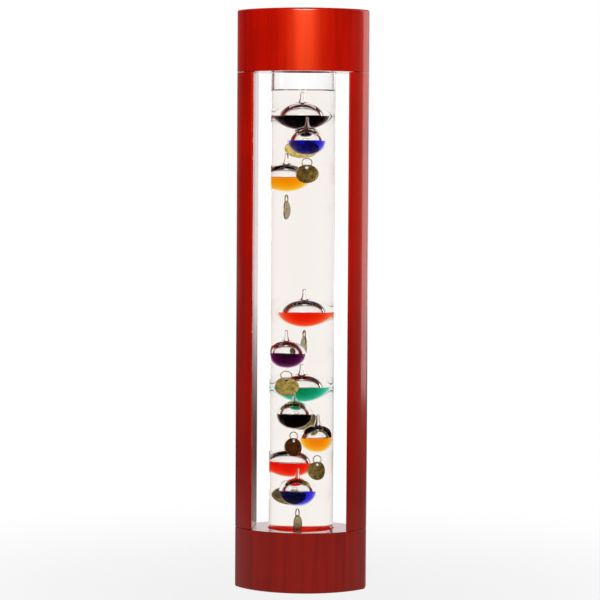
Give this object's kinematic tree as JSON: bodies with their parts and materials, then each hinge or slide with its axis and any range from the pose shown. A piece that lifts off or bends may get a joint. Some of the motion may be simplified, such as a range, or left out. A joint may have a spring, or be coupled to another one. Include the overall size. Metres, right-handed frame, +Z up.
{
  "type": "galileo thermometer",
  "caption": "Free-standing Galileo thermometer: a clear liquid-filled glass tube with coloured glass floats and hanging brass tags in a lacquered wooden frame.",
  "frame": {"origin": "centre of the underside of the base", "axes": "+Z up along the tube, front faces -Y, +X to the right seen from the front"},
  "size_m": [0.1, 0.064, 0.44],
  "materials": {
    "lacquered_wood": "cherry-red high-gloss lacquer",
    "bare_wood": "raw beech",
    "clear_glass": "clear, fire polished",
    "foam": "soft closed-cell foam",
    "brass": "stamped, slightly tarnished",
    "black_liquid": "dyed liquid",
    "blue_liquid": "dyed liquid",
    "orange_liquid": "dyed liquid",
    "coral_liquid": "dyed liquid",
    "purple_liquid": "dyed liquid",
    "teal_liquid": "dyed liquid",
    "amber_liquid": "dyed liquid",
    "red_liquid": "dyed liquid"
  },
  "bodies": {
    "root": {"top_cap": "lacquered_wood", "base": "lacquered_wood", "left_post": "lacquered_wood", "right_post": "lacquered_wood", "top_dowel_1": "bare_wood", "top_dowel_2": "bare_wood", "top_dowel_3": "bare_wood", "top_dowel_4": "bare_wood", "base_dowel_1": "bare_wood", "base_dowel_2": "bare_wood", "base_dowel_3": "bare_wood", "base_dowel_4": "bare_wood", "glass_tube": "clear_glass", "tube_seal": "clear_glass", "foot_foam": "foam", "crown_foam": "foam"},
    "float_01": {"float_01_bulb": "clear_glass", "float_01_liquid": "black_liquid"},
    "float_01_pendant": {"float_01_ring": "brass", "float_01_tag": "brass"},
    "float_02": {"float_02_bulb": "clear_glass", "float_02_liquid": "blue_liquid"},
    "float_02_pendant": {"float_02_ring": "brass", "float_02_tag": "brass"},
    "float_03": {"float_03_bulb": "clear_glass", "float_03_liquid": "orange_liquid"},
    "float_03_pendant": {"float_03_ring": "brass", "float_03_tag": "brass"},
    "float_04": {"float_04_bulb": "clear_glass", "float_04_liquid": "coral_liquid"},
    "float_04_pendant": {"float_04_ring": "brass", "float_04_tag": "brass"},
    "float_05": {"float_05_bulb": "clear_glass", "float_05_liquid": "purple_liquid"},
    "float_05_pendant": {"float_05_ring": "brass", "float_05_tag": "brass"},
    "float_06": {"float_06_bulb": "clear_glass", "float_06_liquid": "teal_liquid"},
    "float_06_pendant": {"float_06_ring": "brass", "float_06_tag": "brass"},
    "float_07": {"float_07_bulb": "clear_glass", "float_07_liquid": "black_liquid"},
    "float_07_pendant": {"float_07_ring": "brass", "float_07_tag": "brass"},
    "float_08": {"float_08_bulb": "clear_glass", "float_08_liquid": "amber_liquid"},
    "float_08_pendant": {"float_08_ring": "brass", "float_08_tag": "brass"},
    "float_09": {"float_09_bulb": "clear_glass", "float_09_liquid": "red_liquid"},
    "float_09_pendant": {"float_09_ring": "brass", "float_09_tag": "brass"},
    "float_10": {"float_10_bulb": "clear_glass", "float_10_liquid": "blue_liquid"},
    "float_10_pendant": {"float_10_ring": "brass", "float_10_tag": "brass"}
  },
  "joints": [
    {"name": "float_01_rise", "type": "slide", "parent": "root", "child": "float_01", "axis": [0, 0, 1], "range_m": [-0.0005, 0.0003]},
    {"name": "float_01_tag_swing", "type": "hinge", "parent": "float_01", "child": "float_01_pendant", "pos_m": [-0.0014, 0.0112, 0.345], "axis": [0, 1, 0], "range_deg": [-6, 6]},
    {"name": "float_02_rise", "type": "slide", "parent": "root", "child": "float_02", "axis": [0, 0, 1], "range_m": [-0.005, 0.0005]},
    {"name": "float_02_tag_swing", "type": "hinge", "parent": "float_02", "child": "float_02_pendant", "pos_m": [0.0024, -0.0028, 0.3264], "axis": [-0.5736, 0.8192, 0], "range_deg": [-10, 10]},
    {"name": "float_03_rise", "type": "slide", "parent": "root", "child": "float_03", "axis": [0, 0, 1], "range_m": [-0.035, 0]},
    {"name": "float_03_tag_swing", "type": "hinge", "parent": "float_03", "child": "float_03_pendant", "pos_m": [-0.0079, 0.008, 0.2986], "axis": [-0.9659, 0.2588, 0], "range_deg": [-12, 12]},
    {"name": "float_04_rise", "type": "slide", "parent": "root", "child": "float_04", "axis": [0, 0, 1], "range_m": [0, 0.02]},
    {"name": "float_04_tag_swing", "type": "hinge", "parent": "float_04", "child": "float_04_pendant", "pos_m": [0, 0.0113, 0.1959], "axis": [0.9659, 0.2588, 0], "range_deg": [-8, 8]},
    {"name": "float_05_rise", "type": "slide", "parent": "root", "child": "float_05", "axis": [0, 0, 1], "range_m": [0, 0.006]},
    {"name": "float_05_tag_swing", "type": "hinge", "parent": "float_05", "child": "float_05_pendant", "pos_m": [-0.0082, -0.0015, 0.1652], "axis": [-0.1392, 0.9903, 0], "range_deg": [-6, 6]},
    {"name": "float_06_rise", "type": "slide", "parent": "root", "child": "float_06", "axis": [0, 0, 1], "range_m": [0, 0.003]},
    {"name": "float_06_tag_swing", "type": "hinge", "parent": "float_06", "child": "float_06_pendant", "pos_m": [-0.001, 0.0113, 0.1388], "axis": [0, 1, 0], "range_deg": [-6, 6]},
    {"name": "float_07_rise", "type": "slide", "parent": "root", "child": "float_07", "axis": [0, 0, 1], "range_m": [0, 0.0005]},
    {"name": "float_07_tag_swing", "type": "hinge", "parent": "float_07", "child": "float_07_pendant", "pos_m": [-0.0038, -0.0055, 0.1194], "axis": [0.7071, 0.7071, 0], "range_deg": [-5, 5]},
    {"name": "float_08_rise", "type": "slide", "parent": "root", "child": "float_08", "axis": [0, 0, 1], "range_m": [0, 0.0008]},
    {"name": "float_08_tag_swing", "type": "hinge", "parent": "float_08", "child": "float_08_pendant", "pos_m": [0.01, -0.0045, 0.1014], "axis": [0.4226, 0.9063, 0], "range_deg": [-8, 8]},
    {"name": "float_09_rise", "type": "slide", "parent": "root", "child": "float_09", "axis": [0, 0, 1], "range_m": [0, 0.0008]},
    {"name": "float_09_tag_swing", "type": "hinge", "parent": "float_09", "child": "float_09_pendant", "pos_m": [-0.0057, 0.0092, 0.0814], "axis": [0, 1, 0], "range_deg": [-5, 5]},
    {"name": "float_10_rise", "type": "slide", "parent": "root", "child": "float_10", "axis": [0, 0, 1], "range_m": [0, 0.0008]},
    {"name": "float_10_tag_swing", "type": "hinge", "parent": "float_10", "child": "float_10_pendant", "pos_m": [-0.0016, -0.004, 0.0607], "axis": [-0.9659, 0.2588, 0], "range_deg": [-12, 12]}
  ]
}
